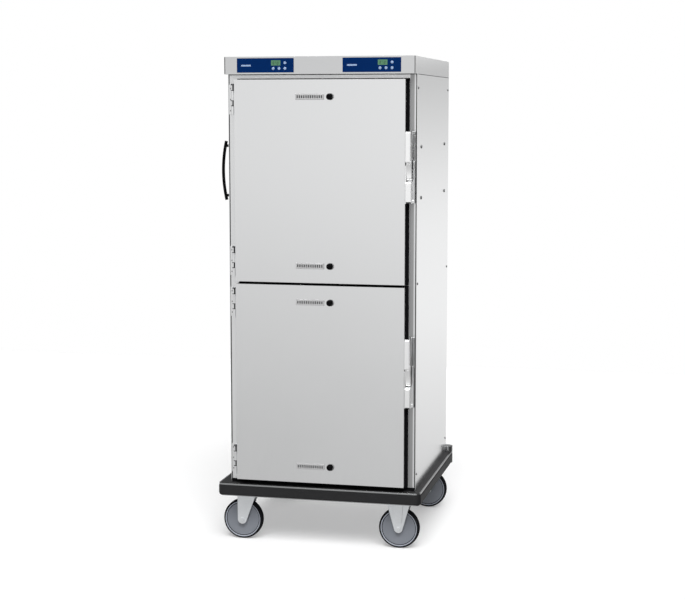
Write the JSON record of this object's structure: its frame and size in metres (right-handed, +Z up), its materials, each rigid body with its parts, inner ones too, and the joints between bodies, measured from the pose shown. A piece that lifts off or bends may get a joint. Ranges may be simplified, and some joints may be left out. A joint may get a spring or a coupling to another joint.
{
  "type": "enclosed heated meal tray cart",
  "caption": "Tall enclosed stainless steel meal cart on four casters, with two hinged doors, heated tray compartments, a control housing, push handles and a bumper.",
  "frame": {"origin": "on the floor, under the middle of the whole cart's footprint", "axes": "+X to the right as seen from the front, +Y to the rear (the doors face -Y), +Z up"},
  "size_m": [0.8199, 0.839, 1.9],
  "materials": {
    "shell_steel": "fine satin brushing",
    "liner_steel": "mill finish",
    "aluminium_rail": "satin",
    "bumper_vinyl": "matte",
    "insulation_wool": "loose mineral wool",
    "navy_overlay": "semi gloss film",
    "controller_case": "matte, lit green display",
    "key_plastic": "semi gloss",
    "screw_steel": "plain",
    "black_plastic": "matte",
    "hinge_steel": "satin",
    "latch_metal": "cast, satin",
    "vent_metal": "satin",
    "element_steel": "heat darkened",
    "chromed_wire": "bright",
    "seal_rubber": "matte",
    "zinc_steel": "zinc plated",
    "wheel_polymer": "semi matte"
  },
  "bodies": {
    "cabinet": {"base_frame": "shell_steel", "bumper_rail": "aluminium_rail", "bumper_vinyl": "bumper_vinyl", "side_panels": "shell_steel", "rear_panel": "shell_steel", "front_frame": "shell_steel", "insulation": "insulation_wool", "upper_cavity": "liner_steel", "lower_cavity": "liner_steel", "top_cover": "shell_steel", "control_fascia": "shell_steel", "control_panels": "navy_overlay", "controllers": "controller_case", "panel_screws": "screw_steel", "push_handles": "black_plastic", "hinge_frame_leaves": "hinge_steel", "hinge_pins": "screw_steel", "latch_strikes": "screw_steel", "side_racks": "liner_steel", "heating_elements": "element_steel", "mains_inlet": "black_plastic", "swivel_plates": "zinc_steel", "rigid_forks": "zinc_steel", "rigid_axles": "screw_steel"},
    "upper_shelf": {"upper_shelf": "chromed_wire"},
    "lower_shelf": {"lower_shelf": "chromed_wire"},
    "upper_door": {"upper_door_skin": "shell_steel", "upper_door_liner": "liner_steel", "upper_door_seal": "seal_rubber", "upper_door_leaves": "hinge_steel", "upper_latch_body": "latch_metal", "upper_vent_bars": "vent_metal"},
    "upper_latch_lever": {"upper_latch_lever": "latch_metal"},
    "upper_vent_top_shutter": {"upper_vent_top_shutter": "black_plastic"},
    "upper_vent_bottom_shutter": {"upper_vent_bottom_shutter": "black_plastic"},
    "lower_door": {"lower_door_skin": "shell_steel", "lower_door_liner": "liner_steel", "lower_door_seal": "seal_rubber", "lower_door_leaves": "hinge_steel", "lower_latch_body": "latch_metal", "lower_vent_bars": "vent_metal"},
    "lower_latch_lever": {"lower_latch_lever": "latch_metal"},
    "lower_vent_top_shutter": {"lower_vent_top_shutter": "black_plastic"},
    "lower_vent_bottom_shutter": {"lower_vent_bottom_shutter": "black_plastic"},
    "left_key_1": {"left_key_1": "key_plastic"},
    "left_key_2": {"left_key_2": "key_plastic"},
    "left_key_3": {"left_key_3": "key_plastic"},
    "left_key_4": {"left_key_4": "key_plastic"},
    "right_key_1": {"right_key_1": "key_plastic"},
    "right_key_2": {"right_key_2": "key_plastic"},
    "right_key_3": {"right_key_3": "key_plastic"},
    "right_key_4": {"right_key_4": "key_plastic"},
    "front_left_swivel": {"front_left_fork": "zinc_steel", "front_left_axle": "screw_steel"},
    "rear_left_swivel": {"rear_left_fork": "zinc_steel", "rear_left_axle": "screw_steel"},
    "front_left_wheel": {"front_left_wheel": "wheel_polymer"},
    "front_right_wheel": {"front_right_wheel": "wheel_polymer"},
    "rear_left_wheel": {"rear_left_wheel": "wheel_polymer"},
    "rear_right_wheel": {"rear_right_wheel": "wheel_polymer"}
  },
  "joints": [
    {"name": "upper_door_hinge", "type": "hinge", "parent": "cabinet", "child": "upper_door", "pos_m": [-0.327, -0.3855, 1.4285], "axis": [0, 0, -1], "range_deg": [0, 180]},
    {"name": "upper_latch_pull", "type": "hinge", "parent": "upper_door", "child": "upper_latch_lever", "pos_m": [0.36, -0.3835, 1.4465], "axis": [1, 0, 0], "range_deg": [0, 25], "stiffness_Nm_per_rad": 1.2, "springref_deg": -8.59},
    {"name": "upper_vent_top_slide", "type": "slide", "parent": "upper_door", "child": "upper_vent_top_shutter", "axis": [1, 0, 0], "range_m": [0, 0.0043]},
    {"name": "upper_vent_bottom_slide", "type": "slide", "parent": "upper_door", "child": "upper_vent_bottom_shutter", "axis": [1, 0, 0], "range_m": [0, 0.0043]},
    {"name": "upper_shelf_slide", "type": "slide", "parent": "cabinet", "child": "upper_shelf", "axis": [0, -1, 0], "range_m": [0, 0.024]},
    {"name": "lower_door_hinge", "type": "hinge", "parent": "cabinet", "child": "lower_door", "pos_m": [-0.327, -0.3855, 0.6475], "axis": [0, 0, -1], "range_deg": [0, 180]},
    {"name": "lower_latch_pull", "type": "hinge", "parent": "lower_door", "child": "lower_latch_lever", "pos_m": [0.36, -0.3835, 0.6655], "axis": [1, 0, 0], "range_deg": [0, 25], "stiffness_Nm_per_rad": 1.2, "springref_deg": -8.59},
    {"name": "lower_vent_top_slide", "type": "slide", "parent": "lower_door", "child": "lower_vent_top_shutter", "axis": [1, 0, 0], "range_m": [0, 0.0043]},
    {"name": "lower_vent_bottom_slide", "type": "slide", "parent": "lower_door", "child": "lower_vent_bottom_shutter", "axis": [1, 0, 0], "range_m": [0, 0.0043]},
    {"name": "lower_shelf_slide", "type": "slide", "parent": "cabinet", "child": "lower_shelf", "axis": [0, -1, 0], "range_m": [0, 0.024]},
    {"name": "left_key_1_press", "type": "slide", "parent": "cabinet", "child": "left_key_1", "axis": [0, 1, 0], "range_m": [0, 0.001], "stiffness_N_per_m": 300, "springref_m": -0.002},
    {"name": "left_key_2_press", "type": "slide", "parent": "cabinet", "child": "left_key_2", "axis": [0, 1, 0], "range_m": [0, 0.001], "stiffness_N_per_m": 300, "springref_m": -0.002},
    {"name": "left_key_3_press", "type": "slide", "parent": "cabinet", "child": "left_key_3", "axis": [0, 1, 0], "range_m": [0, 0.001], "stiffness_N_per_m": 300, "springref_m": -0.002},
    {"name": "left_key_4_press", "type": "slide", "parent": "cabinet", "child": "left_key_4", "axis": [0, 1, 0], "range_m": [0, 0.001], "stiffness_N_per_m": 300, "springref_m": -0.002},
    {"name": "right_key_1_press", "type": "slide", "parent": "cabinet", "child": "right_key_1", "axis": [0, 1, 0], "range_m": [0, 0.001], "stiffness_N_per_m": 300, "springref_m": -0.002},
    {"name": "right_key_2_press", "type": "slide", "parent": "cabinet", "child": "right_key_2", "axis": [0, 1, 0], "range_m": [0, 0.001], "stiffness_N_per_m": 300, "springref_m": -0.002},
    {"name": "right_key_3_press", "type": "slide", "parent": "cabinet", "child": "right_key_3", "axis": [0, 1, 0], "range_m": [0, 0.001], "stiffness_N_per_m": 300, "springref_m": -0.002},
    {"name": "right_key_4_press", "type": "slide", "parent": "cabinet", "child": "right_key_4", "axis": [0, 1, 0], "range_m": [0, 0.001], "stiffness_N_per_m": 300, "springref_m": -0.002},
    {"name": "front_left_swivel", "type": "hinge", "parent": "cabinet", "child": "front_left_swivel", "pos_m": [-0.284, -0.2985, 0.175], "axis": [0, 0, 1], "continuous": true},
    {"name": "front_left_spin", "type": "hinge", "parent": "front_left_swivel", "child": "front_left_wheel", "pos_m": [-0.321, -0.2985, 0.08], "axis": [0, 1, 0], "continuous": true},
    {"name": "rear_left_swivel", "type": "hinge", "parent": "cabinet", "child": "rear_left_swivel", "pos_m": [-0.284, 0.3555, 0.175], "axis": [0, 0, 1], "continuous": true},
    {"name": "rear_left_spin", "type": "hinge", "parent": "rear_left_swivel", "child": "rear_left_wheel", "pos_m": [-0.321, 0.3555, 0.08], "axis": [0, 1, 0], "continuous": true},
    {"name": "front_right_spin", "type": "hinge", "parent": "cabinet", "child": "front_right_wheel", "pos_m": [0.312, -0.2985, 0.08], "axis": [0, 1, 0], "continuous": true},
    {"name": "rear_right_spin", "type": "hinge", "parent": "cabinet", "child": "rear_right_wheel", "pos_m": [0.312, 0.3555, 0.08], "axis": [0, 1, 0], "continuous": true}
  ]
}
